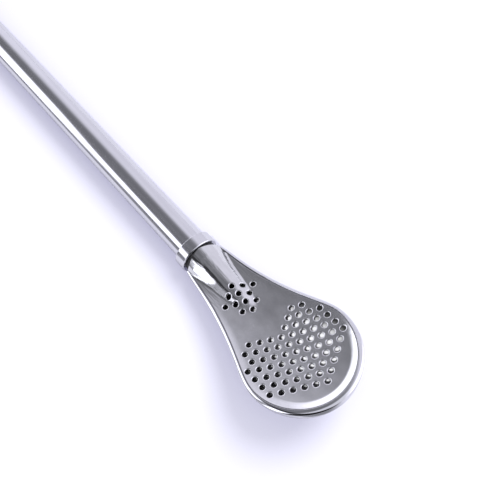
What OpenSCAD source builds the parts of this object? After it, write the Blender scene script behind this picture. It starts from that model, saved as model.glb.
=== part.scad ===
// Drinking straw with a screw-off filter head, lying face up.
// Working frame: x runs along the straw to the tip of the head, with 0 at the collar's face,
// y runs across, z points up and the straw's axis is z = 0. The last lines move it to the part's frame.

/* [Straw] */
// Outside diameter of the straw tube
tube_od = 8; // [7.5:0.05:8.4]
// Wall of the straw tube
tube_wall = 0.5; // [0.4:0.05:0.6]
// Length of the straw tube, from the mouthpiece to the collar's face
tube_len = 122; // [60:1:200]

/* [Mouthpiece] */
// Length of the mouthpiece beyond the tube
mouth_len = 22; // [16:1:30]
// Thickness of the flattened lip
mouth_thick = 5.2; // [4.6:0.1:6.4]
// Wall of the mouthpiece
mouth_wall = 0.6; // [0.4:0.05:0.8]
// Round stretch before the mouthpiece starts to flatten
mouth_lead = 2; // [1:0.5:5]
// Depth of its plug in the tube
mouth_plug = 6; // [4:0.5:10]

/* [Screw joint] */
// Outside diameter of the collar
collar_od = 10; // [9.4:0.1:10.4]
// Length of the collar
collar_len = 3; // [2:0.1:5]
// Depth of the seat turned in the tube's end for the collar
collar_seat = 0.2; // [0.15:0.01:0.25]
// Rounding of the collar's back shoulder
collar_round = 0.15; // [0.1:0.05:0.4]
// Rounding of the collar's front edge
collar_edge = 0.25; // [0.1:0.05:0.4]
// Depth of the spigot's plug in the tube
spigot_plug = 8; // [5:0.5:12]
// Diameter of the thread on the spigot
thread_od = 6.2; // [5.8:0.1:6.4]
// Length of the thread beyond the collar's face
thread_len = 6; // [4:0.5:7]
// Bore of the spigot
spigot_bore = 4.6; // [4:0.1:4.8]
// Radial clearance between the spigot's thread and the socket
thread_clear = 0.05; // [0.03:0.01:0.1]
// Thickness of the seal ring
seal_thick = 0.8; // [0.6:0.05:1]
// Outside diameter of the seal ring
seal_od = 8.4; // [7.8:0.1:8.6]
// Radial clearance of the seal ring on the thread
seal_clear = 0.1; // [0.05:0.01:0.15]
// Length of the socket in the neck
socket_len = 6.5; // [5:0.5:8]
// Play between pieces that are pushed or laid together
fit = 0.02; // [0.01:0.01:0.03]

/* [Head outline] */
// Length of the head along its bend, from the collar's face to the tip
head_len = 47.8; // [45:0.1:51]
// Width of the head
head_w = 25.8; // [24.2:0.1:27.4]
// Distance of the widest place from the collar's face
widest_at = 34; // [32.5:0.1:35.5]
// Width across the seam at the neck
neck_w = 10.2; // [10:0.05:10.6]
// Length of the pull that keeps the flank slim behind the neck
flank_run = 22; // [19:0.1:24]
// Rise of that pull
flank_rise = 2.6; // [2:0.1:3.2]
// Length of the pull that rounds the shoulder
shoulder_run = 6; // [4:0.1:8]

/* [Head bend and dish] */
// Radius of the bend that lifts the head's tip off the straw's line
bend_r = 136.5; // [110:0.5:180]
// How far behind the collar's face the bend starts
bend_lead = 4.3; // [2:0.1:6]
// Radius of the plate's hollow across the head
dish_r = 74.6; // [60:0.1:100]
// Height of the plate over the bent axis
plate_h = 0.73; // [0.5:0.01:1]
// Thickness of the pressed sheet
sheet = 0.5; // [0.4:0.05:0.55]
// Depth of the bowl under the bent axis
belly_depth = 7.6; // [6.8:0.1:8.5]
// Distance from the neck's end at which the bowl has its full depth
belly_run = 23.4; // [18:0.1:28]
// Squareness of the bowl's section, where 2 is an ellipse
belly_power = 2.2; // [2.1:0.1:2.8]
// Depth of the flat under the bowl, on which it lies without rolling
seat_flat = 0.2; // [0.1:0.05:0.3]

/* [Ridge] */
// Outside diameter of the head's neck
neck_od = 9.6; // [9.5:0.05:9.8]
// Distance from the collar's face at which the neck starts to taper into the plate
taper_at = 2.7; // [2:0.1:5]
// Length of the taper
taper_len = 20; // [17:0.1:22]
// Diameter at the end of the taper, below the plate
taper_od = 4.2; // [3.4:0.1:4.6]

/* [Rolled rim] */
// Width of the roll along the flanks
hem_w = 0.75; // [0.7:0.05:0.9]
// Further width of the roll at the tip
hem_tip = 0.4; // [0.35:0.05:0.6]
// How far the roll stands out over the wall at the tip
hem_over = 0.3; // [0.1:0.05:0.35]
// Height of the roll over the plate
hem_h = 0.25; // [0.15:0.05:0.4]
// Further rise of the roll at the tip
tip_rise = 0.35; // [0.2:0.05:0.6]
// Depth of the roll's sloping outer face
hem_round = 0.5; // [0.4:0.05:0.6]
// Width of the ledge that carries the plate, beyond the wall
ledge_w = 0.4; // [0.2:0.05:0.6]
// Room round the plate in its groove
plate_clear = 0.08; // [0.05:0.01:0.12]

/* [Holes] */
// Diameter of the punched holes
hole_d = 1.2; // [0.8:0.05:1.5]
// Distance between neighbouring holes
hole_pitch = 2.35; // [2.2:0.05:2.4]
// Distance of the field's notch hole from the collar's face
field_at = 28.5; // [27.5:0.1:29.5]

/* [Hidden] */
$fn = 96;
tube_id = tube_od - 2 * tube_wall;
plug_d = tube_id - 2 * fit;
seat_d = tube_od - 2 * collar_seat;
socket_at = seal_thick + fit;
neck_at = socket_at;
STEEL = [0.78, 0.78, 0.80];
RUBBER = [0.06, 0.06, 0.06];

// Bend: a place along the head, across it and over the bent axis, as a point
function bend_angle(s) = (s + bend_lead) / bend_r * 180 / PI;
function bent(s, y, h) = [
    (bend_r - h) * sin(bend_angle(s)) - bend_lead,
    y,
    bend_r - (bend_r - h) * cos(bend_angle(s))
];
function dish(y) = plate_h + dish_r - sqrt(dish_r * dish_r - y * y);
function ease(t) = let (c = max(0, min(1, t))) c * c * (3 - 2 * c);

// Outline of the head: u runs from 0 at the neck by 1 at the widest place to 2 at the tip
FLANK = [
    [neck_at, neck_w / 2],
    [neck_at + flank_run, neck_w / 2 + flank_rise],
    [widest_at - shoulder_run, head_w / 2],
    [widest_at, head_w / 2]
];
function flank(t) = pow(1 - t, 3) * FLANK[0] + 3 * t * pow(1 - t, 2) * FLANK[1]
    + 3 * t * t * (1 - t) * FLANK[2] + pow(t, 3) * FLANK[3];
function round_end(a) = [widest_at + (head_len - widest_at) * sin(a), head_w / 2 * cos(a)];
function edge(u) = u <= 1 ? flank(u) : round_end(90 * (u - 1));
function inward(u) = let (d = edge(min(2, u + 0.001)) - edge(max(0, u - 0.001))) [d.y, -d.x] / norm(d);
function inset(u, d) = edge(u) + d * inward(u);
function spine(u) = [min(edge(u).x, widest_at), 0];
function tip_share(u) = pow(sin(90 * max(0, u - 1)), 2);
function tip_reach(u) = sin(90 * max(0, u - 1));
function rim_h(u) = dish(edge(u).y) + hem_h + tip_rise * tip_share(u);
function keel_h(s) = -neck_od / 2 - (belly_depth - neck_od / 2) * ease((s - neck_at) / belly_run);

FLANK_STEPS = 18;
END_STEPS = 12;
STEPS = FLANK_STEPS + END_STEPS;
U = [for (i = [0 : FLANK_STEPS]) i / FLANK_STEPS, for (i = [1 : END_STEPS]) 1 + i / END_STEPS];

// Bowl: one section of the pressed shell at u, from its keel outside, over the roll, to its keel inside
ARC_STEPS = 9;
function section_power(u) = 2 + (belly_power - 2) * ease((edge(u).x - neck_at) / belly_run);
function arc_point(u, d, top, low, a) = let (
    k = 2 / section_power(u),
    at = spine(u) + (inset(u, d) - spine(u)) * pow(cos(a), k)
) [at.x, at.y, top - (top - low) * pow(sin(a), k)];
function at_inset(u, d, h) = let (p = inset(u, d)) [p.x, p.y, h];
function wall_in(u) = hem_over * tip_reach(u);
function groove_in(u) = wall_in(u) + sheet;
function hem_in(u) = sheet + 0.1 + (hem_w - sheet - 0.1) * ease((edge(u).x - neck_at) / (belly_run / 2))
    + hem_tip * tip_reach(u);
function section(u) = let (
    keel = keel_h(spine(u).x),
    top = rim_h(u),
    groove = groove_in(u),
    over = dish(inset(u, groove + plate_clear).y) + plate_clear,
    under = over - sheet - 2 * plate_clear,
    roll = hem_in(u),
    ledge = groove + 0.1 + (ledge_w - 0.1) * ease((edge(u).x - neck_at) / belly_run)
) concat(
    [for (j = [1 : ARC_STEPS]) arc_point(u, wall_in(u), top - hem_round - 0.3, keel, 90 * (1 - j / ARC_STEPS))],
    [
        at_inset(u, 0, top - hem_round),
        at_inset(u, 0.4 * roll, top - 0.32 * hem_round),
        at_inset(u, 0.85 * roll, top),
        at_inset(u, roll, over),
        at_inset(u, groove, over),
        at_inset(u, groove, under),
        at_inset(u, ledge, under),
        at_inset(u, ledge, under - 0.3)
    ],
    [for (j = [0 : ARC_STEPS - 1]) arc_point(u, groove, under - 0.8, keel + sheet, 90 * j / ARC_STEPS)]
);
function side_of(i) = i <= STEPS ? 1 : -1;
function place_of(i) = i <= STEPS ? i : 2 * STEPS - i;
STATIONS = 2 * STEPS + 1;
RING = 2 * ARC_STEPS + 8;

// The bowl's flat lies in one plane with the underside of the tube's far end
REST_X = -tube_len - mouth_lead;
KEEL = [for (i = [0 : FLANK_STEPS]) let (s = edge(U[i]).x) bent(s, 0, keel_h(s))];
REST_SLOPE = min([for (p = KEEL) (p.z + tube_od / 2) / (p.x - REST_X)]);
SEAT_SLOPE = REST_SLOPE + seat_flat / (belly_run - REST_X);
function seat_z(x) = SEAT_SLOPE * (x - REST_X) - tube_od / 2;
function seated(p, wall) = [p.x, p.y, max(p.z, seat_z(p.x) + wall)];
function wall_of(j) = j < ARC_STEPS + 8 ? 0 : sheet;

BOWL_RINGS = [for (i = [0 : STATIONS - 1]) let (ring = section(U[place_of(i)])) for (j = [0 : RING - 1])
    seated(bent(ring[j].x, side_of(i) * ring[j].y, ring[j].z), wall_of(j))];
KEEL_OUT = [for (p = KEEL) seated(p, 0)];
KEEL_IN = [for (i = [0 : FLANK_STEPS]) let (s = edge(U[i]).x) seated(bent(s, 0, keel_h(s) + sheet), sheet)];
BOWL_POINTS = concat(BOWL_RINGS, KEEL_OUT, KEEL_IN);
function at_ring(i, j) = i * RING + j;
function keel_step(i) = min(place_of(i), FLANK_STEPS);
function keel_out(i) = STATIONS * RING + keel_step(i);
function keel_in(i) = STATIONS * RING + FLANK_STEPS + 1 + keel_step(i);

// Ends of the sheet at the neck: the wall in strips, then the roll with its groove
ROLL = ARC_STEPS - 1;
NECK_END = concat(
    [for (j = [0 : ARC_STEPS - 2]) for (half = [0, 1])
        half == 0 ? [j, j + 1, RING - 2 - j] : [j, RING - 2 - j, RING - 1 - j]],
    [for (j = [0 : 3]) [ROLL + j, ROLL + j + 1, ROLL + 5]],
    [[ROLL, ROLL + 5, ROLL + 6], [ROLL, ROLL + 6, ROLL + 9]],
    [[ROLL + 6, ROLL + 8, ROLL + 9], [ROLL + 6, ROLL + 7, ROLL + 8]]
);
BOWL_FACES = concat(
    [for (i = [0 : STATIONS - 2]) for (j = [0 : RING - 2]) for (half = [0, 1])
        half == 0 ? [at_ring(i, j), at_ring(i + 1, j), at_ring(i + 1, j + 1)]
                  : [at_ring(i, j), at_ring(i + 1, j + 1), at_ring(i, j + 1)]],
    [for (i = [0 : STATIONS - 2]) [keel_out(i), at_ring(i + 1, 0), at_ring(i, 0)]],
    [for (i = [0 : STATIONS - 2]) if (keel_step(i) != keel_step(i + 1))
        [keel_out(i), keel_out(i + 1), at_ring(i + 1, 0)]],
    [for (i = [0 : STATIONS - 2]) [at_ring(i, RING - 1), at_ring(i + 1, RING - 1), keel_in(i + 1)]],
    [for (i = [0 : STATIONS - 2]) if (keel_step(i) != keel_step(i + 1))
        [at_ring(i, RING - 1), keel_in(i + 1), keel_in(i)]],
    [for (t = NECK_END) [at_ring(0, t[0]), at_ring(0, t[1]), at_ring(0, t[2])]],
    [for (t = NECK_END) [at_ring(STATIONS - 1, t[0]), at_ring(STATIONS - 1, t[2]), at_ring(STATIONS - 1, t[1])]],
    [
        [keel_out(0), at_ring(0, 0), at_ring(0, RING - 1)],
        [keel_out(0), at_ring(0, RING - 1), keel_in(0)],
        [keel_out(0), at_ring(STATIONS - 1, RING - 1), at_ring(STATIONS - 1, 0)],
        [keel_out(0), keel_in(0), at_ring(STATIONS - 1, RING - 1)]
    ]
);

// Mouthpiece: oval rings from the tube's end out to the lip, back inside and round the plug
MOUTH_STEPS = 10;
MOUTH_SIDES = 48;
MOUTH_LIP = -tube_len - mouth_len + mouth_wall / 2;
function pressed(t) = ease((t * mouth_len - mouth_lead) / (mouth_len - mouth_lead));
function mouth_at(t) = -tube_len + t * (MOUTH_LIP + tube_len);
function between(a, b, t) = a + (b - a) * t;
function outer_oval(t) = [tube_od / 2, between(tube_od, mouth_thick, pressed(t)) / 2];
function inner_oval(t) = [
    between(plug_d, tube_od, pressed(t)) / 2 - mouth_wall,
    between(plug_d, mouth_thick, pressed(t)) / 2 - mouth_wall
];
MOUTH_OVALS = concat(
    [for (i = [0 : MOUTH_STEPS]) let (t = i / MOUTH_STEPS, o = outer_oval(t)) [mouth_at(t), o.x, o.y]],
    [for (a = [45, 90, 135]) let (o = outer_oval(1), d = mouth_wall / 2 * (1 - cos(a)))
        [MOUTH_LIP - mouth_wall / 2 * sin(a), o.x - d, o.y - d]],
    [for (i = [MOUTH_STEPS : -1 : 0]) let (t = i / MOUTH_STEPS, o = inner_oval(t)) [mouth_at(t), o.x, o.y]],
    [for (r = [plug_d / 2 - mouth_wall, plug_d / 2]) [-tube_len + mouth_plug, r, r]],
    [[-tube_len, plug_d / 2, plug_d / 2]]
);
MOUTH_RINGS = len(MOUTH_OVALS);
MOUTH_POINTS = [for (o = MOUTH_OVALS) for (k = [0 : MOUTH_SIDES - 1]) let (a = 360 * k / MOUTH_SIDES)
    [o.x, o.y * cos(a), o.z * sin(a)]];
function at_oval(i, k) = (i % MOUTH_RINGS) * MOUTH_SIDES + k % MOUTH_SIDES;
MOUTH_FACES = [for (i = [0 : MOUTH_RINGS - 1]) for (k = [0 : MOUTH_SIDES - 1]) for (half = [0, 1])
    half == 0 ? [at_oval(i, k), at_oval(i + 1, k), at_oval(i + 1, k + 1)]
              : [at_oval(i, k), at_oval(i + 1, k + 1), at_oval(i, k + 1)]];

// Frame: middle of the length, and the lowest place of the bowl, go to the origin
LOW_X = -tube_len - mouth_len;
HIGH_X = max([for (p = BOWL_POINTS) p.x]);
LOW_Z = min([for (p = BOWL_POINTS) p.z]);
FRAME = [-(LOW_X + HIGH_X) / 2, 0, -LOW_Z];

// Holes: one triangular grid, kept where the wide field and the patch on the ridge lie
COLUMN = hole_pitch * sqrt(3) / 2;
field_r = 4.8 * hole_pitch;
patch_r = 1.8 * hole_pitch;
field_mid = field_at + 2 * hole_pitch;
patch_mid = field_at - 5.65 * hole_pitch;
function hole_place(k, n) = [field_at + (n - abs(k) / 2) * hole_pitch, k * COLUMN];
HOLES = [for (k = [-5 : 5]) for (n = [-8 : 6]) let (p = hole_place(k, n))
    if (n >= 0 ? norm(p - [field_mid, 0]) < field_r : norm(p - [patch_mid, 0]) < patch_r) p];
echo(holes = len(HOLES), length = HIGH_X - LOW_X, lowest = LOW_Z, tip = HIGH_X);

// A cylinder or cone along the straw's axis, from x = a to x = b
module along(a, b, d, d_end = undef) {
    translate([a, 0, 0]) rotate([0, 90, 0])
        cylinder(h = b - a, d1 = d, d2 = is_undef(d_end) ? d : d_end);
}

// Turns a profile (distance from the bend's axis, place across) along the bend of the head
module bend_sweep() {
    lead = 1.5;
    translate([-bend_lead, 0, bend_r]) rotate([90, 0, 0]) rotate([0, 0, -90 - lead])
        rotate_extrude(angle = bend_angle(head_len) + 2 * lead, $fn = 360)
            children();
}

// The space above the plate's sunk surface, lowered by drop
module over_dish(drop) {
    bend_sweep() intersection() {
        translate([bend_r - plate_h - dish_r, 0]) circle(r = dish_r + drop, $fn = 360);
        translate([bend_r - 12, -head_w]) square([24, 2 * head_w]);
    }
}

module head_outline(d) {
    right = [for (u = U) let (p = inset(u, d + wall_in(u)), q = bent(p.x, p.y, dish(p.y))) [q.x, q.y]];
    left = [for (i = [len(right) - 2 : -1 : 0]) [right[i].x, -right[i].y]];
    polygon(concat(right, left));
}

// The neck and its taper, a bore of the given wall smaller
module neck_form(wall, start) {
    along(start, taper_at, neck_od - 2 * wall);
    along(taper_at, taper_at + taper_len, neck_od - 2 * wall, taper_od - 2 * wall);
}

module at_hole(p) {
    translate([-bend_lead, 0, bend_r]) rotate([0, -bend_angle(p.x), 0])
        translate([0, p.y, dish(p.y) - bend_r]) rotate([asin(p.y / dish_r), 0, 0]) children();
}

module straw_tube() {
    color(STEEL) difference() {
        union() {
            along(-tube_len, -collar_len, tube_od);
            along(-collar_len, 0, seat_d);
        }
        along(-tube_len - 1, 1, tube_id);
    }
}

module mouthpiece() {
    color(STEEL) polyhedron(points = MOUTH_POINTS, faces = MOUTH_FACES, convexity = 6);
}

module collar() {
    color(STEEL) difference() {
        translate([-collar_len, 0, 0]) rotate([0, 90, 0]) rotate_extrude() collar_profile();
        along(-collar_len - 1, 1, seat_d + 2 * fit);
    }
}

// Half of the collar's section: distance from the axis, place along it
module collar_profile() {
    r = collar_od / 2;
    square([r - collar_round, collar_len]);
    translate([0, collar_round]) square([r, collar_len - collar_round - collar_edge]);
    translate([0, collar_round]) square([r - collar_edge, collar_len - collar_round]);
    translate([r - collar_round, collar_round]) circle(r = collar_round);
    translate([r - collar_edge, collar_len - collar_edge]) circle(r = collar_edge);
}

module threaded_spigot() {
    color(STEEL) difference() {
        union() {
            along(-spigot_plug, 0, plug_d);
            along(0, thread_len, thread_od);
        }
        along(-spigot_plug - 1, thread_len + 1, spigot_bore);
    }
}

module seal_ring() {
    color(RUBBER) difference() {
        along(fit, seal_thick, seal_od);
        along(-1, seal_thick + 1, thread_od + 2 * seal_clear);
    }
}

module threaded_socket() {
    color(STEEL) difference() {
        intersection() {
            neck_form(sheet + plate_clear + fit, socket_at);
            along(socket_at, socket_at + socket_len, neck_od);
        }
        along(socket_at - 1, socket_at + socket_len + 1, thread_od + 2 * thread_clear);
    }
}

// The neck's outside, kept inside the roll of the bowl and free above it
module ridge_form() {
    intersection() {
        neck_form(0, neck_at);
        union() {
            linear_extrude(height = bend_r) head_outline(hem_in(0) + plate_clear);
            translate([0, -head_w, bent(taper_at + 1, 0, rim_h(0)).z + plate_clear]) cube([head_len, 2 * head_w, head_w]);
        }
    }
}

module filter_plate() {
    color(STEEL) difference() {
        intersection() {
            union() {
                linear_extrude(height = bend_r) head_outline(sheet + plate_clear);
                ridge_form();
            }
            over_dish(sheet);
            union() {
                difference() {
                    translate([-10, -head_w, -head_w]) cube([head_len + 20, 2 * head_w, 3 * head_w]);
                    over_dish(0);
                }
                neck_form(0, neck_at);
            }
        }
        neck_form(sheet, neck_at - 1);
        for (p = HOLES) at_hole(p) translate([0, 0, -3]) cylinder(h = 6, d = hole_d, $fn = 32);
    }
}

module bowl_shell() {
    color(STEEL) polyhedron(points = BOWL_POINTS, faces = BOWL_FACES, convexity = 8);
}

translate(FRAME) {
    straw_tube();
    mouthpiece();
    collar();
    threaded_spigot();
    seal_ring();
    threaded_socket();
    filter_plate();
    bowl_shell();
}
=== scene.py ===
"""Mate drinking straw with a screwed-on spoon filter, lying on a white table."""
import math

import bmesh
import bpy
import numpy as np
from mathutils import Matrix, Vector
from mathutils.geometry import delaunay_2d_cdt


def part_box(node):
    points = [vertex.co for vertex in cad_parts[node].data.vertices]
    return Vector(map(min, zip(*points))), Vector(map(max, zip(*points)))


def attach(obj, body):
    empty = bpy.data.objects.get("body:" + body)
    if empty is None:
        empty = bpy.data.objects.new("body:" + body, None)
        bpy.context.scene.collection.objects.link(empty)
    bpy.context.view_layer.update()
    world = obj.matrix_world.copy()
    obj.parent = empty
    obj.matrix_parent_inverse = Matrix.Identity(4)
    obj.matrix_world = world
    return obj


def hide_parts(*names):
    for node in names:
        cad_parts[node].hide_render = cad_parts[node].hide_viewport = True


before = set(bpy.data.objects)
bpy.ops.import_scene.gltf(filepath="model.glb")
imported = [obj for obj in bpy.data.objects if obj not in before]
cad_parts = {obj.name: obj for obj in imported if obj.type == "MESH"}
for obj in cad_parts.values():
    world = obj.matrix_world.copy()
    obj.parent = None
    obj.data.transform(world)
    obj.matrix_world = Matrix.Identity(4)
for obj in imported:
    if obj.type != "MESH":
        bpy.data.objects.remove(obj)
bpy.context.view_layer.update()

# Sizes of the straw, in millimetres, as its solids have them
TUBE_R, BORE_R, TUBE_LEN, SEAT_R = 4.0, 3.5, 122.0, 3.8
MOUTH_LEN, MOUTH_THICK, MOUTH_WALL, MOUTH_LEAD, MOUTH_PLUG = 22.0, 5.2, 0.6, 2.0, 6.0
COLLAR_R, COLLAR_LEN, COLLAR_BACK, COLLAR_FRONT = 5.0, 3.0, 0.15, 0.25
SPIGOT_R, SPIGOT_PLUG, SPIGOT_BORE = 3.48, 8.0, 2.3
THREAD_R, THREAD_LEN, THREAD_PITCH = 3.1, 6.0, 0.75
SOCKET_R, SOCKET_AT, SOCKET_LEN = 3.15, 0.82, 6.5
SEAL_FROM, SEAL_TO, SEAL_IN, SEAL_OUT = 0.02, 0.8, 3.2, 4.2
HEAD_LEN, HALF_W, WIDEST_AT, NECK_AT, NECK_HALF = 47.8, 12.9, 34.0, 0.82, 5.1
FLANK_RUN, FLANK_RISE, SHOULDER_RUN = 22.0, 2.6, 6.0
BEND_R, BEND_LEAD, DISH_R, PLATE_H, SHEET = 136.5, 4.3, 74.6, 0.73, 0.5
BELLY_DEPTH, BELLY_RUN, BELLY_POWER, SEAT_FLAT = 7.6, 23.4, 2.2, 0.2
NECK_R, TAPER_AT, TAPER_LEN, TAPER_R = 4.8, 2.7, 20.0, 2.1
HEM_W, HEM_TIP, HEM_OVER, HEM_H = 0.75, 0.4, 0.3, 0.25
TIP_RISE, LEDGE_W, PLATE_CLEAR, FIT = 0.35, 0.4, 0.08, 0.02
HOLE_R, HOLE_PITCH, FIELD_AT = 0.6, 2.35, 28.5
PLATE_INSET, NECK_HEM, NECK_LEDGE = SHEET + PLATE_CLEAR, SHEET + 0.1, 0.1

# Middle and reach of the two groups of holes, in hole pitches along the head
FIELD_MIDDLE, FIELD_REACH, PATCH_MIDDLE, PATCH_REACH = 2, 4.8, -5.65, 1.8

# Finer forms, most of which the solids leave plain, in millimetres
THREAD_DEPTH, SOCKET_DEPTH, BESIDE_ROUND, NECK_TUCK = 0.34, 0.26, 0.02, 0.32
ROLLOVER_R, ROLLOVER_DROP, CREASE, RIDGE_TOP = 0.86, 0.22, 0.42, 0.9
NOTCH_DEPTH, NOTCH_LIP, NOTCH_RUN, NOTCH_NONE = 1.1, 0.42, 3, 0.382
COVE_RISE, COVE_TIP, COVE_RUN, CREVICE_RUN, CREVICE_DROP = HEM_H - 0.1, 0.34, 1.7, 0.34, 0.22
ROLL_R, ROLL_CROWN, ROLL_LIP, ROLL_FOOT, ROLL_UNDER = 1.42, 1.12, 0.1, 0.4, 0.08
LEDGE_DROP, HOLLOW_DROP = 0.3, 0.8

# How closely the meshes follow these forms: lines in millimetres, then counts of steps
COVE_LINES = (0.08, 0.16, 0.25, 0.35, 0.47, 0.62, 0.8, 1.0, 1.2, 1.4, 1.6, 1.8, 2.05, 2.3)
RIDGE_ANGLES = (*range(0, 76, 6), 76, 79, 81.5, 84, 87, 90)
RIDGE_FOOT_LINES = (0.06, 0.14, 0.26, 0.42, 0.65)
RIDGE_END, PLAIN_STEP = 20.5, 0.62
ROLLOVER_RINGS = (0.80, 0.745, 0.70, 0.66, 0.63, 0.61, HOLE_R + 0.002)
BORE_RINGS = ((HOLE_R, 0.36), (HOLE_R, 0.50), (HOLE_R + 0.05, 0.54))
HOLE_SIDES, RIDGE_STEPS, THREAD_STEPS = 28, 84, 72
OUTER_STEPS, ROLL_STEPS, CREST_STEPS, INNER_STEPS = 26, 5, 12, 16
RIM_POINT = OUTER_STEPS + ROLL_STEPS - 1

# The collar's front face on the tube's axis is where the millimetres start
tube_low, tube_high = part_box("straw_tube")
START = np.array([tube_high[0], 0.0, (tube_low[2] + tube_high[2]) / 2])


def row(points):
    """Millimetres from the collar's face to metres in the row frame."""
    return np.asarray(points, float) / 1000 + START


def ease(t):
    """A smooth rise from 0 to 1, level at both ends."""
    t = np.clip(t, 0, 1)
    return t * t * (3 - 2 * t)


# Shape of the head: its bend, its outline and the pressed plate
def bend_angle(s):
    return (s + BEND_LEAD) / BEND_R


def bent(s, y, h):
    """A place along the head, across it and over the bent axis, as a point."""
    a = bend_angle(s)
    reach = BEND_R - h
    return np.stack([reach * np.sin(a) - BEND_LEAD, y + 0 * a, BEND_R - reach * np.cos(a)], -1)


def dish(y):
    """Height of the hollow plate over the bent axis, without its ridge."""
    return PLATE_H + DISH_R - np.sqrt(DISH_R**2 - y * y)


def edge(u):
    """The head's outline from the neck (0) by its widest place (1) to the tip (2)."""
    t = np.minimum(u, 1)
    pulls = ((NECK_AT, NECK_HALF), (NECK_AT + FLANK_RUN, NECK_HALF + FLANK_RISE),
             (WIDEST_AT - SHOULDER_RUN, HALF_W), (WIDEST_AT, HALF_W))
    shares = ((1 - t) ** 3, 3 * t * (1 - t) ** 2, 3 * t * t * (1 - t), t**3)
    flank = [sum(w * p[k] for w, p in zip(shares, pulls)) for k in (0, 1)]
    a = np.maximum(u - 1, 0) * math.pi / 2
    end = [WIDEST_AT + (HEAD_LEN - WIDEST_AT) * np.sin(a), HALF_W * np.cos(a)]
    return np.where(u <= 1, flank[0], end[0]), np.where(u <= 1, flank[1], end[1])


def inset(u, d):
    """The outline at u, moved inwards by d."""
    s0, y0 = edge(np.maximum(u - 0.001, 0))
    s1, y1 = edge(np.minimum(u + 0.001, 2))
    run = np.hypot(s1 - s0, y1 - y0)
    s, y = edge(u)
    return s + d * (y1 - y0) / run, y - d * (s1 - s0) / run


def tip_reach(u):
    """0 along the flanks, and up to 1 at the tip."""
    return np.sin(math.pi / 2 * np.maximum(u - 1, 0))


def hem_width(u):
    """Width of the roll over the plate's edge, slim at the neck and widest at the tip."""
    grow = ease((edge(u)[0] - NECK_AT) / (BELLY_RUN / 2))
    return NECK_HEM + (HEM_W - NECK_HEM) * grow + HEM_TIP * tip_reach(u)


def neck_notch(s, side):
    """How far the neck's end reaches over the seal on top, and stands back at the seams."""
    return (NOTCH_DEPTH * side - NOTCH_LIP) * (1 - ease((s - NECK_AT) / NOTCH_RUN))


def rim_height(u):
    """Height of the rolled rim, which lifts a little towards the tip."""
    return dish(edge(u)[1]) + HEM_H + TIP_RISE * tip_reach(u) ** 2


OUTLINE_U = np.linspace(0, 2, 721)
OUTLINE_S, OUTLINE_Y = edge(OUTLINE_U)


def from_outline(s, y):
    """Distance from the head's outline, and the outline's nearest place."""
    y = np.abs(y)
    near = ((s[:, None] - OUTLINE_S) ** 2 + (y[:, None] - OUTLINE_Y) ** 2).argmin(1)
    best, place = np.full(len(s), np.inf), OUTLINE_U[near]
    for first in (np.maximum(near - 1, 0), np.minimum(near, len(OUTLINE_U) - 2)):
        run_s, run_y = OUTLINE_S[first + 1] - OUTLINE_S[first], OUTLINE_Y[first + 1] - OUTLINE_Y[first]
        share = ((s - OUTLINE_S[first]) * run_s + (y - OUTLINE_Y[first]) * run_y) / (run_s**2 + run_y**2)
        share = np.clip(share, 0, 1)
        d = np.hypot(s - OUTLINE_S[first] - share * run_s, y - OUTLINE_Y[first] - share * run_y)
        u = OUTLINE_U[first] + share * (OUTLINE_U[1] - OUTLINE_U[0])
        best, place = np.where(d < best, d, best), np.where(d < best, u, place)
    return best, place


def cove(s, y):
    """How far the plate turns up towards the rolled rim, and down again into the crevice there."""
    d, u = from_outline(s, y)
    reach = ease((u - 1) / 0.45)
    rise = (COVE_RISE + COVE_TIP * reach) * ease((s - 8) / 16)
    from_hem = d - hem_width(u)
    turned_up = np.maximum(1 - from_hem / (COVE_RUN + 0.1 * reach), 0) ** (2 - 0.5 * reach)
    crevice = np.maximum(1 - (from_hem + 0.1) / CREVICE_RUN, 0) ** 2
    return rise * np.minimum(turned_up, 1.2) - CREVICE_DROP * crevice * ease((s - 4) / 6)


def ridge_radius(x):
    """Radius of the half-round ridge, which tapers from the neck into the plate."""
    return np.interp(x, [TAPER_AT, TAPER_AT + TAPER_LEN], [NECK_R, TAPER_R])


def pressed_height(s, y):
    """Height of the plate with its ridge, which a small fillet joins to the hollow.

    Between the neck and the first holes the ridge is a little gabled and sunk.
    """
    ground = dish(y) + cove(s, y)
    a = bend_angle(s)
    axis_h = BEND_R - BEND_R / np.cos(a)
    crease = CREASE + 0.3 * (1 - ease((s - 3) / 12))
    fade = 1 - ease((s - 7) / 9)
    gable, sunk = ease((s + 1) / 7) * fade, np.clip(s / 9, 0, 1) * fade
    power = 2 - 0.5 * gable
    highest, halvings = 8.0, 34
    low, high = axis_h + 1e-4, np.full_like(s, highest)
    for _ in range(halvings):
        h = (low + high) / 2
        x = (BEND_R - h) * np.sin(a) - BEND_LEAD
        r = ridge_radius(x)
        soft = (np.hypot(y, RIDGE_TOP) - RIDGE_TOP) * r / (np.hypot(r, RIDGE_TOP) - RIDGE_TOP)
        out, rise = np.abs(y) + gable * (soft - np.abs(y)), (h - axis_h) * np.cos(a) * (1 + 0.25 * sunk)
        off_ridge = (out**power + rise**power) ** (1 / power) - r
        off_ground = h - ground
        blend = np.maximum(crease - np.abs(off_ridge - off_ground), 0)
        gap = np.minimum(off_ridge, off_ground) - blend**2 / (4 * crease)
        low, high = np.where(gap < 0, h, low), np.where(gap < 0, high, h)
    return (low + high) / 2


def punched_holes():
    """Places of the holes: one triangular grid in a wide field and a patch on the ridge."""
    places = []
    for k in range(-5, 6):  # rows across the head
        for n in range(-8, 7):  # places along it
            s = FIELD_AT + (n - abs(k) / 2) * HOLE_PITCH
            y = k * HOLE_PITCH * math.sqrt(3) / 2
            in_field = n >= 0
            middle = FIELD_AT + (FIELD_MIDDLE if in_field else PATCH_MIDDLE) * HOLE_PITCH
            if math.hypot(s - middle, y) < (FIELD_REACH if in_field else PATCH_REACH) * HOLE_PITCH:
                places.append((s, y))
    return np.array(places)


HOLES = punched_holes()


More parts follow.
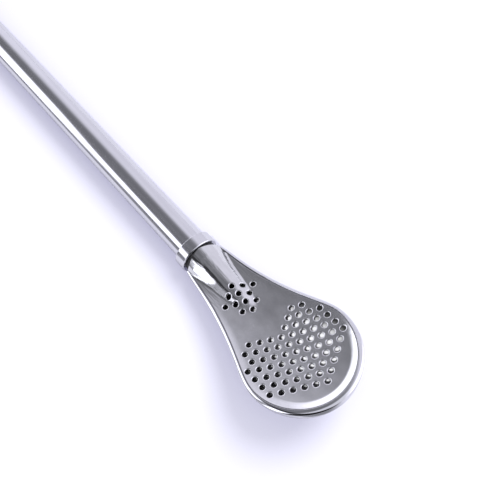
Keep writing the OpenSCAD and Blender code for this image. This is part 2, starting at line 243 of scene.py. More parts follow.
def from_holes(s, y):
    """Distance from the nearest hole's middle."""
    gap = (s[:, None] - HOLES[None, :, 0]) ** 2 + (y[:, None] - HOLES[None, :, 1]) ** 2
    return np.sqrt(gap.min(1))


def rollover(reach):
    """How far the sheet rolls down into a punched hole."""
    t = np.clip((ROLLOVER_R - reach) / (ROLLOVER_R - HOLE_R), 0, 1)
    return ROLLOVER_DROP * (1 - np.sqrt(1 - t * t))


def plate_top(s, y):
    """The plate's upper face, rolled down into the holes."""
    return bent(s, y, pressed_height(s, y) - rollover(from_holes(s, y)))


def plate_normals(s, y, surface, step=0.004):
    """Directions square to a pressed surface given by place along and across."""
    along = surface(s + step, y) - surface(s - step, y)
    across = surface(s, y + step) - surface(s, y - step)
    out = np.cross(along, across)
    return out / np.linalg.norm(out, axis=1, keepdims=True)


# Making pieces
def add_piece(name, points, faces, finish, body, node, slot, normals=None, sharp=38, marks=None):
    """A piece from points in millimetres, on its body and in the place of its node."""
    mesh = bpy.data.meshes.new(name)
    mesh.from_pydata([tuple(p) for p in row(points)], [], [tuple(f) for f in faces])
    form = bmesh.new()
    form.from_mesh(mesh)
    bmesh.ops.recalc_face_normals(form, faces=form.faces)
    form.to_mesh(mesh)
    form.free()
    mesh.polygons.foreach_set("use_smooth", [True] * len(mesh.polygons))
    if normals is None:
        mesh.set_sharp_from_angle(angle=math.radians(sharp))
    else:
        mesh.normals_split_custom_set_from_vertices([tuple(n) for n in normals])
    for mark, amounts in (marks or {}).items():
        mesh.attributes.new(mark, "FLOAT", "POINT").data.foreach_set("value", amounts)
    mesh.materials.append(finish)
    piece = bpy.data.objects.new(name, mesh)
    bpy.context.scene.collection.objects.link(piece)
    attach(piece, body)
    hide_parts(node)
    return piece


def rounded(corners, steps=7):
    """A line of (along, out, rounding) corners with each corner rounded.

    A short straight on either side of a rounding keeps the long faces' shading true.
    """
    line = []
    for i, (x, r, size) in enumerate(corners):
        here = Vector((x, r))
        if size == 0:
            line.append((x, r))
            continue
        back = (Vector(corners[i - 1][:2]) - here).normalized()
        on = (Vector(corners[(i + 1) % len(corners)][:2]) - here).normalized()
        half = back.angle(on) / 2
        middle = here + (back + on).normalized() * size / math.sin(half)
        first = here + back * size / math.tan(half) - middle
        last = here + on * size / math.tan(half) - middle
        turn = first.angle_signed(last)
        line.append(tuple(middle + first + back * BESIDE_ROUND))
        for k in range(steps + 1):
            spoke = first.copy()
            spoke.rotate(Matrix.Rotation(-turn * k / steps, 2))
            line.append(tuple(middle + spoke))
        line.append(tuple(middle + last + on * BESIDE_ROUND))
    return line


def rings_to_faces(rings, sides):
    """Quads over closed rings that follow each other round a closed section."""
    return [(i * sides + k, ((i + 1) % rings) * sides + k,
             ((i + 1) % rings) * sides + (k + 1) % sides, i * sides + (k + 1) % sides)
            for i in range(rings) for k in range(sides)]


def turned(section, sides=160):
    """A closed section (along, out) turned round the straw's axis."""
    angle = np.arange(sides) * 2 * math.pi / sides
    points = [(x, r * math.cos(a), r * math.sin(a)) for x, r in section for a in angle]
    return points, rings_to_faces(len(section), sides)


def thread_wave(x, angle):
    """Right-hand thread: 0 on the crest and 1 in the root, each with a small flat."""
    steep = 1.35
    t = (x / THREAD_PITCH - angle / (2 * math.pi)) % 1
    return np.clip((1 - np.abs(2 * t - 1)) * steep - (steep - 1) / 2, 0, 1)


def threaded(section, sides=120):
    """A turned section (along, out, depth of thread) with the thread cut into it."""
    angle = np.arange(sides) * 2 * math.pi / sides
    points = []
    for x, r, depth in section:
        reach = r - depth * thread_wave(x, angle)
        points += list(zip([x] * sides, reach * np.cos(angle), reach * np.sin(angle)))
    return points, rings_to_faces(len(section), sides)


# Finishes
class Wire:
    """One output of a shader node, so that sums of outputs read as plain sums."""

    def __init__(self, tree, socket):
        self.tree, self.socket = tree, socket

    def _join(self, kind, *terms):
        node = self.tree.nodes.new("ShaderNodeMath")
        node.operation = kind
        for place, term in zip(node.inputs, terms):
            if isinstance(term, Wire):
                self.tree.links.new(term.socket, place)
            else:
                place.default_value = term
        return Wire(self.tree, node.outputs[0])

    def __add__(self, other):
        return self._join("ADD", self, other)

    def __sub__(self, other):
        return self._join("SUBTRACT", self, other)

    def __rsub__(self, other):
        return self._join("SUBTRACT", other, self)

    def __mul__(self, other):
        return self._join("MULTIPLY", self, other)

    __radd__ = __add__
    __rmul__ = __mul__

    def high(self, other):
        """The larger of the two."""
        return self._join("MAXIMUM", self, other)

    def step(self, low, high):
        """0 below low, 1 above high and a smooth rise between."""
        node = self.tree.nodes.new("ShaderNodeMapRange")
        node.interpolation_type = "SMOOTHSTEP"
        self.tree.links.new(self.socket, node.inputs["Value"])
        node.inputs["From Min"].default_value = low
        node.inputs["From Max"].default_value = high
        return Wire(self.tree, node.outputs[0])


class Finish:
    """A node tree that is filled one node at a time."""

    def __init__(self, owner):
        owner.use_nodes = True
        self.tree = owner.node_tree
        self.tree.nodes.clear()

    def add(self, kind, settings, values, out=0):
        """One node with its settings and inputs; gives the output that is asked for."""
        node = self.tree.nodes.new("ShaderNode" + kind)
        for name, value in settings.items():
            setattr(node, name, value)
        for name, value in values.items():
            if isinstance(value, Wire):
                self.tree.links.new(value.socket, node.inputs[name])
            else:
                node.inputs[name].default_value = value
        return Wire(self.tree, node.outputs[out])

    def place(self, stretch):
        """Object coordinates in millimetres, stretched along each axis."""
        where = self.add("TexCoord", {}, {}, "Object")
        scale = tuple(1000 / v for v in stretch)
        return self.add("Mapping", {}, {"Vector": where, "Scale": scale})

    def noise(self, stretch, detail=3.0, rough=0.55):
        """Noise whose grains are about as large as stretch, in millimetres."""
        values = {"Vector": self.place(stretch), "Scale": 1.0, "Detail": detail, "Roughness": rough}
        return self.add("TexNoise", {}, values)

    def split(self, wire):
        """The three numbers of a direction or a place."""
        node = self.tree.nodes.new("ShaderNodeSeparateXYZ")
        self.tree.links.new(wire.socket, node.inputs[0])
        return [Wire(self.tree, node.outputs[k]) for k in range(3)]

    def tint(self, share, dark, light):
        """A colour between dark and light."""
        node = self.tree.nodes.new("ShaderNodeMix")
        node.data_type = "RGBA"
        self.tree.links.new(share.socket, node.inputs[0])
        node.inputs[6].default_value = (*dark, 1)
        node.inputs[7].default_value = (*light, 1)
        return Wire(self.tree, node.outputs[2])

    def bump(self, height, strength, distance):
        """Fine relief for the light to catch."""
        values = {"Height": height, "Strength": strength, "Distance": distance}
        return self.add("Bump", {}, values)

    def surface(self, shader):
        end = self.tree.nodes.new("ShaderNodeOutputMaterial")
        self.tree.links.new(shader.socket, end.inputs["Surface"])


def polished_steel(name, rough, grain):
    """Mirror-polished steel with fine drawn lines along the straw and faint smudges."""
    material = bpy.data.materials.new(name)
    f = Finish(material)
    drawn = f.noise((grain[0], grain[1], grain[1]), 4.0, 0.6)
    hair = f.noise((grain[0] * 0.7, grain[1] * 0.3, grain[1] * 0.3), 2.0)
    smudge = f.noise((6.0, 3.0, 3.0), 4.0, 0.6)
    colour = f.tint(smudge, (0.70, 0.70, 0.725), (0.79, 0.79, 0.81))
    roughness = rough + drawn * (0.6 * rough) + smudge.step(0.45, 0.75) * (0.5 * rough)
    values = {"Base Color": colour, "Metallic": 1.0, "Roughness": roughness,
              "Normal": f.bump(hair + smudge * 2.0, 0.12, 0.00001)}
    f.surface(f.add("BsdfPrincipled", {}, values))
    return material


def satin_steel(name, rough):
    """Pressed steel, tumbled to a satin with fine crossing scratches and a soft mottle, and painted darker where a
    mark asks for painted shade.
    """
    material = bpy.data.materials.new(name)
    f = Finish(material)
    mottle = f.noise((4.5, 3.5, 4.0), 3.0, 0.5)
    grain = f.noise((0.35, 0.35, 0.35), 2.0)
    scratch = f.noise((2.4, 0.05, 0.6), 2.0).step(0.58, 0.72)
    cross = f.noise((0.05, 1.8, 0.6), 2.0).step(0.60, 0.74)
    # The mark paints shade: it darkens the colour towards dark grey
    painted_shade = f.add("Attribute", {"attribute_name": "painted_shade"}, {}, "Fac").step(0.2, 0.9)
    colour = f.tint((mottle * 0.35 + 0.48) * (1 - painted_shade), (0.3, 0.3, 0.31), (1.0, 1.0, 1.0))
    worn = f.add("Attribute", {"attribute_name": "worn"}, {}, "Fac")
    roughness = rough - worn * 0.15 + (mottle - 0.5) * 0.1 + scratch * 0.04 + cross * 0.03
    dents = f.noise((7.0, 1.0, 1.0), 2.0)
    height = grain * 0.5 + scratch * 0.3 + cross * 0.25 + mottle * 3.0 + dents * worn * 40.0
    values = {"Base Color": colour, "Metallic": 1.0, "Roughness": roughness,
              "Normal": f.bump(height, 0.1, 0.00002)}
    f.surface(f.add("BsdfPrincipled", {}, values))
    return material


def turned_steel(name):
    """Steel as it comes from the lathe: fine rings round the axis."""
    material = bpy.data.materials.new(name)
    f = Finish(material)
    rings = f.noise((0.06, 4.0, 4.0), 3.0, 0.6)
    stain = f.noise((1.6, 1.6, 1.6), 4.0)
    colour = f.tint(stain, (0.55, 0.55, 0.56), (0.72, 0.72, 0.73))
    values = {"Base Color": colour, "Metallic": 1.0, "Roughness": 0.2 + rings * 0.22,
              "Normal": f.bump(rings, 0.25, 0.00003)}
    f.surface(f.add("BsdfPrincipled", {}, values))
    return material


def steel_with_painted_shade(name, pale, dark):
    """Steel inside the head, dull and grey; painted shade darkens it where a mark asks for it."""
    material = bpy.data.materials.new(name)
    f = Finish(material)
    dull = f.noise((1.2, 1.2, 1.2), 4.0, 0.6)
    grit = f.noise((0.12, 0.12, 0.12), 2.0)
    painted_shade = f.add("Attribute", {"attribute_name": "painted_shade"}, {}, "Fac")
    values = {"Base Color": f.tint((0.75 + dull * 0.5) * (1 - painted_shade), dark, pale), "Metallic": 0.0,
              "Roughness": 0.5 + dull * 0.2, "Normal": f.bump(grit, 0.2, 0.00003)}
    f.surface(f.add("BsdfPrincipled", {}, values))
    return material


def seal_rubber(name):
    """Black silicone with a matt, slightly dusty skin."""
    material = bpy.data.materials.new(name)
    f = Finish(material)
    dust = f.noise((0.5, 0.5, 0.5), 5.0, 0.65)
    skin = f.noise((0.08, 0.08, 0.08), 2.0)
    colour = f.tint(dust.step(0.4, 0.8), (0.012, 0.012, 0.013), (0.045, 0.045, 0.047))
    values = {"Base Color": colour, "Roughness": 0.45 + dust * 0.25,
              "Normal": f.bump(skin, 0.3, 0.00003)}
    f.surface(f.add("BsdfPrincipled", {}, values))
    return material


DRAWN = polished_steel("drawn_polished_steel", 0.085, (14.0, 0.35))
RING = polished_steel("ring_polished_steel", 0.10, (0.3, 1.5))
PRESSED = satin_steel("satin_pressed_steel", 0.22)
BOWL = polished_steel("bowl_polished_steel", 0.06, (3.0, 0.8))
LATHE = turned_steel("lathe_turned_steel")
# Inside the bowl: pale dull steel, painted towards near black where the mark puts painted shade
INSIDE = steel_with_painted_shade("dull_steel_inside", (0.82, 0.82, 0.85), (0.03, 0.03, 0.03))
# The plate's underside is painted nearly black: painted shade inside the bowl, so that little light bounces round
# in it
PAINTED_DARK_UNDERSIDE = steel_with_painted_shade("underside_steel_painted_dark", (0.12, 0.12, 0.12), (0.05, 0.05, 0.05))
RUBBER = seal_rubber("black_seal_rubber")


# Straw: the tube, its mouthpiece, collar and threaded spigot
def straw_tube():
    """Drawn tube, turned down at the end that takes the collar."""
    section = rounded([(-TUBE_LEN, TUBE_R, 0.06), (-COLLAR_LEN, TUBE_R, 0.05), (-COLLAR_LEN, SEAT_R, 0),
                       (0, SEAT_R, 0), (0, BORE_R, 0), (-TUBE_LEN, BORE_R, 0)], 3)
    add_piece("straw_tube_drawn", *turned(section), DRAWN, "straw", "straw_tube", "polished_steel")


def mouthpiece():
    """Oval rings from the tube's end out to the lip, back inside and round the plug."""
    lip = -TUBE_LEN - MOUTH_LEN + MOUTH_WALL / 2
    plug = BORE_R - FIT
    steps, lip_steps, sides = 44, 10, 128
    rings = []

    def pressed(t):
        return float(ease((t * MOUTH_LEN - MOUTH_LEAD) / (MOUTH_LEN - MOUTH_LEAD)))

    for i in range(steps + 1):
        t = i / steps
        rings.append((-TUBE_LEN + t * (lip + TUBE_LEN), TUBE_R,
                      TUBE_R + (MOUTH_THICK / 2 - TUBE_R) * pressed(t)))
    for k in range(1, lip_steps):
        a = math.pi * k / lip_steps
        d = MOUTH_WALL / 2 * (1 - math.cos(a))
        rings.append((lip - MOUTH_WALL / 2 * math.sin(a), TUBE_R - d, MOUTH_THICK / 2 - d))
    for i in range(steps, -1, -1):
        t = i / steps
        wide = plug + (TUBE_R - plug) * pressed(t) - MOUTH_WALL
        thick = plug + (MOUTH_THICK / 2 - plug) * pressed(t) - MOUTH_WALL
        rings.append((-TUBE_LEN + t * (lip + TUBE_LEN), wide, thick))
    for r in (plug - MOUTH_WALL, plug):
        rings.append((-TUBE_LEN + MOUTH_PLUG, r, r))
    rings.append((-TUBE_LEN, plug, plug))
    angle = np.arange(sides) * 2 * math.pi / sides
    points = [(x, wide * math.cos(a), thick * math.sin(a)) for x, wide, thick in rings for a in angle]
    add_piece("mouthpiece_pressed", points, rings_to_faces(len(rings), sides), DRAWN,
              "straw", "mouthpiece", "polished_steel")


def collar():
    """Ring pressed on the tube's turned-down end."""
    section = rounded([(-COLLAR_LEN, SEAT_R + FIT, 0), (-COLLAR_LEN, COLLAR_R, COLLAR_BACK),
                       (0, COLLAR_R, COLLAR_FRONT), (0, SEAT_R + FIT, 0)], 9)
    add_piece("collar_turned", *turned(section), RING, "straw", "collar", "polished_steel")


def threaded_spigot():
    """Bush in the tube's end, whose thread stands out of the collar."""
    root, chamfer = THREAD_R - THREAD_DEPTH, 0.2
    thread = np.linspace(0.35, THREAD_LEN - 0.4, THREAD_STEPS)
    section = [(-SPIGOT_PLUG, SPIGOT_BORE, 0), (-SPIGOT_PLUG, SPIGOT_R - chamfer, 0),
               (-SPIGOT_PLUG + chamfer, SPIGOT_R, 0), (0, SPIGOT_R, 0), (0, root, 0), (0.3, root, 0)]
    section += [(x, THREAD_R, THREAD_DEPTH) for x in thread]
    section += [(THREAD_LEN, THREAD_R - 0.42, 0), (THREAD_LEN, SPIGOT_BORE + 0.1, 0),
                (THREAD_LEN - 0.1, SPIGOT_BORE, 0)]
    add_piece("spigot_threaded", *threaded(section), LATHE, "straw", "threaded_spigot", "turned_steel", sharp=55)


# Seal ring, which rides out with the head
def seal_ring():
    """Soft ring that closes the joint between collar and head."""
    section = rounded([(SEAL_FROM, SEAL_IN, 0.12), (SEAL_FROM, SEAL_OUT, 0.22),
                       (SEAL_TO, SEAL_OUT, 0.22), (SEAL_TO, SEAL_IN, 0.12)], 6)
    add_piece("seal_ring_moulded", *turned(section, 128), RUBBER, "seal", "seal_ring", "seal_rubber")


# Head: the socket, the perforated plate and the bowl under it
def threaded_socket():
    """Bush in the head's neck that takes the spigot."""
    wall = PLATE_INSET + FIT
    far = SOCKET_AT + SOCKET_LEN
    nose = NECK_R - wall - 0.35 + (TAPER_R - NECK_R) * (far - TAPER_AT) / TAPER_LEN
    section = [(SOCKET_AT, SOCKET_R + 0.3, 0), (SOCKET_AT, NECK_R - wall - 0.1, 0),
               (SOCKET_AT + 0.1, NECK_R - wall, 0), (TAPER_AT, NECK_R - wall, 0), (far, nose, 0),
               (far, SOCKET_R, 0)]
    section += [(x, SOCKET_R, -SOCKET_DEPTH) for x in np.linspace(far - 0.3, SOCKET_AT + 0.5, THREAD_STEPS)]
    section += [(SOCKET_AT + 0.3, SOCKET_R, 0)]
    add_piece("socket_threaded", *threaded(section), LATHE, "head", "threaded_socket", "turned_steel", sharp=55)


def plate_plan():
    """Points and triangles of the plate seen square on, with the holes left open."""
    points, lines = [], []

    def add_line(s, y, closed=False):
        first = len(points)
        points.extend(zip(s, y))
        lines.extend((first + i, first + i + 1) for i in range(len(s) - 1))
        if closed:
            lines.append((first + len(s) - 1, first))

    def add_clear_line(s, y):
        """A line that stops at the holes' rolled edges and at the plate's edge."""
        keep = (from_holes(s, y) > ROLLOVER_R + 0.07) & (np.abs(y) < np.interp(s, edge_s, edge_y) - 0.02)
        run_s, run_y = [], []
        for ok, a, b in zip(keep, s, y):
            if ok:
                run_s.append(a)
                run_y.append(b)
            elif run_s:
                add_line(run_s, run_y)
                run_s, run_y = [], []
        if run_s:
            add_line(run_s, run_y)

    u = np.concatenate([np.linspace(0, 1, 90), np.linspace(1, 2, 90)[1:]])
    tuck = NECK_TUCK + (PLATE_INSET - NECK_TUCK) * ease((edge(u)[0] - NECK_AT) / 6)
    tuck = tuck + HEM_OVER * tip_reach(u)
    edge_s, edge_y = inset(u, tuck)
    edge_s[0] = NECK_AT
    add_line(np.concatenate([edge_s, edge_s[-2::-1]]), np.concatenate([edge_y, -edge_y[-2::-1]]), True)
    for s, y in HOLES:
        a = np.arange(HOLE_SIDES) * 2 * math.pi / HOLE_SIDES
        add_line(s + ROLLOVER_R * np.cos(a), y + ROLLOVER_R * np.sin(a), True)
    for d in COVE_LINES:
        s, y = inset(u, tuck + d)
        keep = s > 6
        for side in (1, -1):
            add_clear_line(s[keep], side * y[keep])
    s = np.linspace(NECK_AT + 0.05, RIDGE_END, RIDGE_STEPS)
    reach = ridge_radius(s)
    for a in RIDGE_ANGLES:
        y = reach * math.sin(math.radians(a))
        add_clear_line(s, y)
        if a:
            add_clear_line(s, -y)
    for more in RIDGE_FOOT_LINES:
        for side in (1, -1):
            add_clear_line(s, side * (reach + more))
    rows, columns = 24, 76
    for j in range(-rows, rows + 1):
        s = NECK_AT + PLAIN_STEP * (np.arange(columns) + 0.5 * (j % 2))
        y = np.full_like(s, j * PLAIN_STEP * math.sqrt(3) / 2)
        wide = np.interp(s, edge_s, edge_y) - COVE_LINES[-1]
        keep = (np.abs(y) < wide) & (s < edge_s[-1] - 2.4) & (from_holes(s, y) > ROLLOVER_R + 0.16)
        keep &= ~((np.abs(y) < ridge_radius(s) + 0.8) & (s < RIDGE_END + 0.3))
        points.extend(zip(s[keep], y[keep]))
    plan, _, faces, *_ = delaunay_2d_cdt([Vector(p) for p in points], lines, [], 0, 1e-6)
    plan = np.array([tuple(p) for p in plan])
    faces = np.array([f for f in faces if len(f) == 3])
    mid = plan[faces].mean(1)
    inside = np.abs(mid[:, 1]) < np.interp(mid[:, 0], edge_s, edge_y, left=0, right=0)
    faces = faces[inside & (from_holes(mid[:, 0], mid[:, 1]) > ROLLOVER_R * 0.985)]
    used = np.unique(faces)
    renumber = np.zeros(len(plan), int)
    renumber[used] = np.arange(len(used))
    plan = plan[used]
    plan[:, 0] += neck_notch(plan[:, 0], np.minimum(np.abs(plan[:, 1]) / NECK_R, 1))
    return plan, renumber[faces]


def filter_plate():
    """The pressed plate: both faces, its edge, and the rolled edge and bore of each hole."""
    plan, triangles = plate_plan()
    s, y = plan[:, 0], plan[:, 1]
    count = len(plan)

    def plain_top(s, y):
        return bent(s, y, pressed_height(s, y))

    def join(last, now):
        n = len(last)
        return [(last[k], last[(k + 1) % n], now[(k + 1) % n], now[k]) for k in range(n)]

    top = plate_top(s, y)
    top_out = plate_normals(s, y, plate_top)
    square = plate_normals(s, y, plain_top)
    under = plain_top(s, y) - SHEET * square
    points, normals = [top, under], [top_out, -square]
    faces = [tuple(t) for t in triangles] + [tuple(count + i for i in t[::-1]) for t in triangles]
    runs = dict.fromkeys((int(t[k]), int(t[(k + 1) % 3])) for t in triangles for k in range(3))
    rim = [(a, b) for a, b in runs if (b, a) not in runs]
    reach = from_holes(s, y)
    for a, b in rim:
        if reach[a] > ROLLOVER_R + 0.05 or reach[b] > ROLLOVER_R + 0.05:
            faces.append((b, a, count + a, count + b))
    total = 2 * count
    for hole_s, hole_y in HOLES:
        ring = np.where(np.abs(np.hypot(s - hole_s, y - hole_y) - ROLLOVER_R) < 1e-3)[0]
        turn = np.arctan2(y[ring] - hole_y, s[ring] - hole_s)
        ring, turn = ring[np.argsort(turn)], np.sort(turn)
        n = len(ring)
        last = ring
        for r in ROLLOVER_RINGS:
            rs, ry = hole_s + r * np.cos(turn), hole_y + r * np.sin(turn)
            points.append(plate_top(rs, ry))
            normals.append(plate_normals(rs, ry, plate_top, 0.0015))
            now = total + np.arange(n)
            faces += join(last, now)
            total, last = total + n, now
        inward = -np.stack([np.cos(turn), np.sin(turn), 0 * turn], -1)
        for r, drop in BORE_RINGS:
            rs, ry = hole_s + r * np.cos(turn), hole_y + r * np.sin(turn)
            points.append(plain_top(rs, ry) - drop * plate_normals(rs, ry, plain_top))
            normals.append(inward)
            now = total + np.arange(n)
            faces += join(last, now)
            total, last = total + n, now
        faces += join(last, count + ring)
    d, u = from_outline(s, y)
    # Painted shade: the plate is darkened in the crevice along the rolled rim, fading out towards the neck
    painted_shade = np.clip(1 - (d - hem_width(u)) / 0.3, 0, 1) * ease((s - 1) / 4)
    worn = 1 - ease((s - 8) / 9)
    in_holes = np.zeros(total - 2 * count)
    marks = {"painted_shade": np.concatenate([painted_shade, painted_shade, in_holes]), "worn": np.concatenate([worn, worn, in_holes])}
    plate = add_piece("filter_plate_perforated", np.concatenate(points), faces, PRESSED, "head", "filter_plate",
                      "pressed_steel", normals=np.concatenate(normals), marks=marks)
    plate.data.materials.append(PAINTED_DARK_UNDERSIDE)
    for i in range(len(triangles), 2 * len(triangles)):
        plate.data.polygons[i].material_index = 1


def keel_height(s):
    """Height of the bowl's underside on its middle line, before the flat is pressed."""
    return -NECK_R - (BELLY_DEPTH - NECK_R) * ease((s - NECK_AT) / BELLY_RUN)


# The flat under the bowl lies in one plane with the underside of the tube's far end
REST_X = -TUBE_LEN - MOUTH_LEAD
keel_line = edge(np.arange(19) / 18)[0]
keel_points = bent(keel_line, 0 * keel_line, keel_height(keel_line))
lowest_slope = ((keel_points[:, 2] + TUBE_R) / (keel_points[:, 0] - REST_X)).min()
SEAT_SLOPE = lowest_slope + SEAT_FLAT / (BELLY_RUN - REST_X)


def seat_height(x):
    """Height of that plane along the straw."""
    return SEAT_SLOPE * (x - REST_X) - TUBE_R


def bowl_section(u):
    """One section of the pressed shell: keel outside, over the roll, keel inside."""
    one = np.array([u])
    s_edge = float(edge(one)[0][0])
    spine = min(s_edge, WIDEST_AT)
    keel = float(keel_height(np.array([spine]))[0])
    top = float(rim_height(one)[0])
    grow = float(ease((s_edge - NECK_AT) / BELLY_RUN))
    power = 2 + (BELLY_POWER - 2) * grow
    roll = float(hem_width(one)[0])
    wall = HEM_OVER * float(tip_reach(one)[0])
    groove = SHEET + wall

    def at(d):
        s, y = inset(one, np.array([d]))
        return float(s[0]), float(y[0])

    roll_s, roll_y = at(roll)
    ground = float((dish(np.array([roll_y])) + cove(np.array([roll_s]), np.array([roll_y])))[0])
    over = ground + FIT
    under = float(dish(np.array([at(groove + PLATE_CLEAR)[1]]))[0]) - SHEET - PLATE_CLEAR
    ledge = groove + NECK_LEDGE + (LEDGE_W - NECK_LEDGE) * grow

    def arc(d, high, low, a):
        rim_s, rim_y = at(d)
        k = 2 / power
        near, down = max(math.cos(a), 0) ** k, max(math.sin(a), 0) ** k
        return spine + (rim_s - spine) * near, rim_y * near, high - (high - low) * down

    quarter = math.pi / 2

    def slope(d):
        return math.sqrt(ROLL_R**2 - (ROLL_CROWN - d) ** 2)

    crest = roll - ROLL_LIP
    foot = top - slope(crest) + slope(0)
    line = [(*arc(wall, foot - ROLL_FOOT, keel, quarter * (1 - j / OUTER_STEPS)), 0)
            for j in range(1, OUTER_STEPS + 1)]
    for k in range(1, ROLL_STEPS):
        a = quarter * k / ROLL_STEPS
        drop = ROLL_UNDER + (ROLL_FOOT - ROLL_UNDER) * math.cos(a)
        line.append((*at(wall * (1 - math.sin(a))), foot - drop, 0))
    line.append((*at(0), foot - ROLL_UNDER / 2, 0))
    for k in range(CREST_STEPS):
        d = 0.015 + (crest - 0.015) * k / (CREST_STEPS - 1)
        line.append((*at(d), top - slope(crest) + slope(d), 0))
    for k in range(1, ROLL_STEPS + 1):
        a = quarter * k / ROLL_STEPS
        line.append((*at(crest + ROLL_LIP * math.sin(a)), top - (top - over) * (1 - math.cos(a)), 0))
    line += [(*at(groove), over - FIT, 0), (*at(groove), under, 0), (*at(ledge), under, 0),
             (*at(ledge), under - LEDGE_DROP, 0)]
    line += [(*arc(groove, under - HOLLOW_DROP, keel + SHEET, quarter * j / INNER_STEPS), SHEET)
             for j in range(INNER_STEPS)]
    return line


def bowl_shell():
    """The pressed bowl from its sections, closed along the keel and at the neck."""
    flank, end = 64, 52
    stations = [i / flank for i in range(flank)] + [1 + i / end for i in range(end + 1)]
    half = [bowl_section(u) for u in stations]
    rings = half + [[(s, -y, h, wall) for s, y, h, wall in ring] for ring in half[-2::-1]]
    size = len(rings[0])
    flat = np.array([p for ring in rings for p in ring])
    seam = 1 - ease(-flat[:, 2] / NECK_R)
    notch = neck_notch(flat[:, 0], NOTCH_NONE + (1 - NOTCH_NONE) * seam)
    points = bent(flat[:, 0] + notch, flat[:, 1], flat[:, 2])
    pressed_flat = np.maximum(points[:, 2], seat_height(points[:, 0]) + flat[:, 3])
    points[:, 2] = np.where(flat[:, 2] > -2, points[:, 2], pressed_flat)
    keel_s = edge(np.array(stations[:flank + 1]))[0]
    keels = [bent(keel_s, 0 * keel_s, keel_height(keel_s) + wall) for wall in (0, SHEET)]
    for keel, wall in zip(keels, (0, SHEET)):
        keel[:, 2] = np.maximum(keel[:, 2], seat_height(keel[:, 0]) + wall)
    faces, inside = [], []
    last = len(rings) - 1
    first_out, first_in = len(rings) * size, len(rings) * size + len(keel_s)

    def keel_of(i):
        return min(i if i <= flank + end else 2 * (flank + end) - i, flank)

    for i in range(last):
        a, b = i * size, (i + 1) * size
        inside += range(len(faces) + size - INNER_STEPS - 3, len(faces) + size - 1)
        faces += [(a + j, b + j, b + j + 1, a + j + 1) for j in range(size - 1)]
        for near, first in ((0, first_out), (size - 1, first_in)):
            loop = [first + keel_of(i), first + keel_of(i + 1), b + near, a + near]
            inside += [len(faces)] if near else []
            faces.append(tuple(dict.fromkeys(loop)))
    for i in (0, last):
        a = i * size
        outer = [a + round(j * (OUTER_STEPS - 1) / INNER_STEPS) for j in range(INNER_STEPS)]
        faces += [(outer[j], outer[j + 1], a + size - 2 - j, a + size - 1 - j) for j in range(INNER_STEPS - 1)]
        faces.append((first_out, a, a + size - 1, first_in))
    # Painted shade darkens the wall under the rim, the end at the neck and one side of the floor
    painted_shade = np.zeros(len(points) + 2 * len(keel_s))
    for i in range(len(rings)):
        within = slice((i + 1) * size - INNER_STEPS, (i + 1) * size)
        deep = ease((np.arange(INNER_STEPS) - 3.2) / 6) * float(ease((rings[i][RIM_POINT][0] - 13) / 8))
        clear = 0.2 + 0.8 * ease((flat[within, 1] + 7) / 8)
        painted_shade[within] = 1 - deep * clear
    shell = add_piece("bowl_shell_pressed", np.concatenate([points, *keels]), faces, BOWL, "head",
                      "bowl_shell", "pressed_steel", sharp=50, marks={"painted_shade": painted_shade})
    shell.data.materials.append(INSIDE)
    for i in inside:
        shell.data.polygons[i].material_index = 1


straw_tube()
mouthpiece()
collar()
threaded_spigot()
seal_ring()
threaded_socket()
filter_plate()
bowl_shell()


# Table: white, bluish in painted and lamp shadow round the straw, and painted duller beside and in front of it in
# the steel's mirror
def table():
    wide = 900.0
    corners = [(x, y, seat_height(x) - FIT) for x, y in
               ((-wide, -wide), (wide, -wide), (wide, wide), (-wide, wide))]
    mesh = bpy.data.meshes.new("table")
    mesh.from_pydata([tuple(p) for p in row(corners)], [], [(0, 1, 2, 3)])
    top = bpy.data.objects.new("table", mesh)
    bpy.context.scene.collection.objects.link(top)
    material = bpy.data.materials.new("white_table")
    f = Finish(material)
    seen = f.add("LightPath", {}, {}, "Is Camera Ray")
    mirrored = f.add("LightPath", {}, {}, "Is Glossy Ray")
    along, across, _ = f.split(f.add("NewGeometry", {}, {}, "Position"))
    # Painted reflection: only in the steel's mirror is the table darker beside and in front of the straw
    in_front = along.step(0.0955, 0.101) * (1 - across.step(-0.006, 0.004)) * mirrored
    beside_straw = (0 - across).step(0.02, 0.034) * (1 - along.step(0.03, 0.038)) * mirrored
    painted_dark_reflection = beside_straw.high(in_front)
    # Ambient occlusion darkens the glow to a bluish tint round the straw: a painted shadow
    open_sky = f.add("AmbientOcclusion", {"samples": 12}, {"Distance": 0.026}, "AO")
    paper = f.add("BsdfDiffuse", {}, {"Color": f.tint(painted_dark_reflection, (0.17, 0.17, 0.19), (0.08, 0.08, 0.09))})
    shade = f.tint(open_sky, (0.06, 0.055, 0.2), (0.56, 0.555, 0.66))
    mirror_glow = 0.68 - painted_dark_reflection * 0.54 - in_front * 0.12
    glow = f.add("Emission", {}, {"Color": shade, "Strength": seen + mirrored * mirror_glow})
    f.surface(f.add("AddShader", {}, {0: paper, 1: glow}))
    mesh.materials.append(material)
    return top


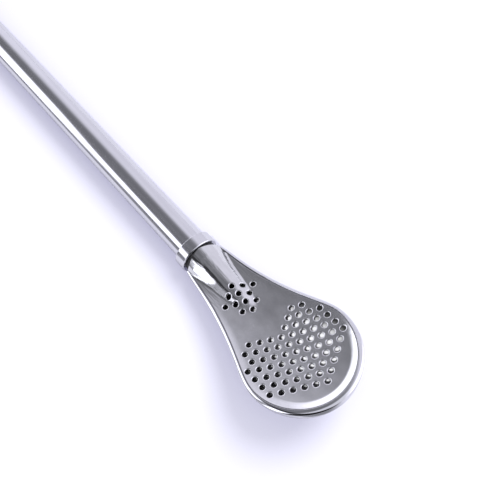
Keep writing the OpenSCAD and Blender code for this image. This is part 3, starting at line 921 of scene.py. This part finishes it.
# Room: dark overhead and in front, pale walls right and behind, and a bright window low on the left
# with a post in it and a dark rail over it
def room():
    world = bpy.data.worlds.new("room")
    bpy.context.scene.world = world
    f = Finish(world)
    around = f.add("TexCoord", {}, {}, "Generated")
    x, y, z = f.split(around)
    left, back = 0 - y, 0 - x
    rise = z * (1 + x * x * (0.5 + x * x * 0.4))
    dark_front = (x * 0.53 - y * 0.848).step(0.42, 0.62) * (1 - z.step(0.74, 0.86)) * x.step(0.08, 0.3)
    taller = back.step(0.585, 0.675) * 0.17
    nearer = x.step(-0.385, -0.35)
    post = nearer * (1 - x.step(-0.195, -0.155))
    rail = left.step(0.3, 0.45) * rise.step(0.6, 0.68) * (1 - rise.step(0.8, 0.88))
    rail = rail * nearer * (1 - x.step(0.1, 0.2))
    sill = rise.step(0.09, 0.24).high(x.step(-0.29, -0.19))
    lintel = (rise - taller).step(0.55, 0.68)
    window = left.step(0.2, 0.5) * sill * (1 - lintel) * (1 - dark_front) * (1 - post * 0.85)
    right = y.step(0.1, 0.52)
    front = x.step(0.04, 0.2) * (1 - dark_front)
    corner = right * (0.95 - back.step(0.78, 0.88) * 0.5)
    behind = back.step(0.46, 0.75) * (1 - z.step(0.38, 0.58)) * (1 - window) * (1 - corner)
    bands = f.add("Mapping", {}, {"Vector": around, "Scale": (0.7, 11.0, 0.7)})
    uneven = f.add("TexNoise", {}, {"Vector": bands, "Scale": 1.0, "Detail": 4.0, "Roughness": 0.6})
    nearest = x.step(0.02, 0.35) * (0.8 - z.step(0.55, 0.75) * 0.6)
    pale = window * 1.75 + right * (0.66 + nearest) + behind * 1.6 + front * 0.6
    light = (0.1 + uneven * 0.24 + pale) * (1 - dark_front * 0.96) * (1 - rail * 0.78)
    seen = f.add("LightPath", {}, {}, "Is Camera Ray")
    mirrored = f.add("LightPath", {}, {}, "Is Glossy Ray")
    colour = f.tint(right, (0.94, 0.945, 1.06), (0.92, 0.91, 1.05))
    strength = seen + mirrored * light + (1 - seen - mirrored) * 0.06
    sky = f.add("Background", {}, {"Color": colour, "Strength": strength})
    end = f.tree.nodes.new("ShaderNodeOutputWorld")
    f.tree.links.new(sky.socket, end.inputs["Surface"])
    world.cycles.sampling_method = "NONE"


def lamp(name, place, aim, size, power):
    """A lamp over the table; the steel doesn't mirror it."""
    data = bpy.data.lights.new(name, "AREA")
    data.shape = "DISK"
    data.size = size
    data.energy = power
    thing = bpy.data.objects.new(name, data)
    bpy.context.scene.collection.objects.link(thing)
    spot, target = Vector(row(place)), Vector(row(aim))
    thing.location = spot
    thing.rotation_euler = (target - spot).to_track_quat("-Z", "Y").to_euler()
    thing.visible_glossy = False
    return thing


def camera():
    """A camera over the head's front, turned so that the straw runs off at the upper left."""
    focal_px, picture_px, film = 574.95, 500, 36.0
    data = bpy.data.cameras.new("camera")
    data.sensor_width = film
    data.lens = focal_px / picture_px * film
    data.clip_start = 0.005
    thing = bpy.data.objects.new("camera", data)
    bpy.context.scene.collection.objects.link(thing)
    back = Vector((0.339, -0.2363, 0.9106)).normalized()
    right = Vector((0.6593, 0.7501, -0.0508))
    right = (right - back * right.dot(back)).normalized()
    up = back.cross(right)
    spot = Vector(row((52.4, -22.2, 122.6)))
    thing.matrix_world = Matrix.Translation(spot) @ Matrix((right, up, back)).transposed().to_4x4()
    bpy.context.scene.camera = thing


white_table = table()
room()
lamp("front_lamp", (124, -152, 600), (30, 0, 0), 0.02, 5.0)
side_lamp = lamp("side_lamp", (40, 370, 530), (20, 0, 0), 0.4, 10.9)
side_lamp.light_linking.receiver_collection = bpy.data.collections.new("lit_from_the_side")
side_lamp.light_linking.receiver_collection.objects.link(white_table)
camera()
bpy.context.scene.view_settings.view_transform = "Standard"
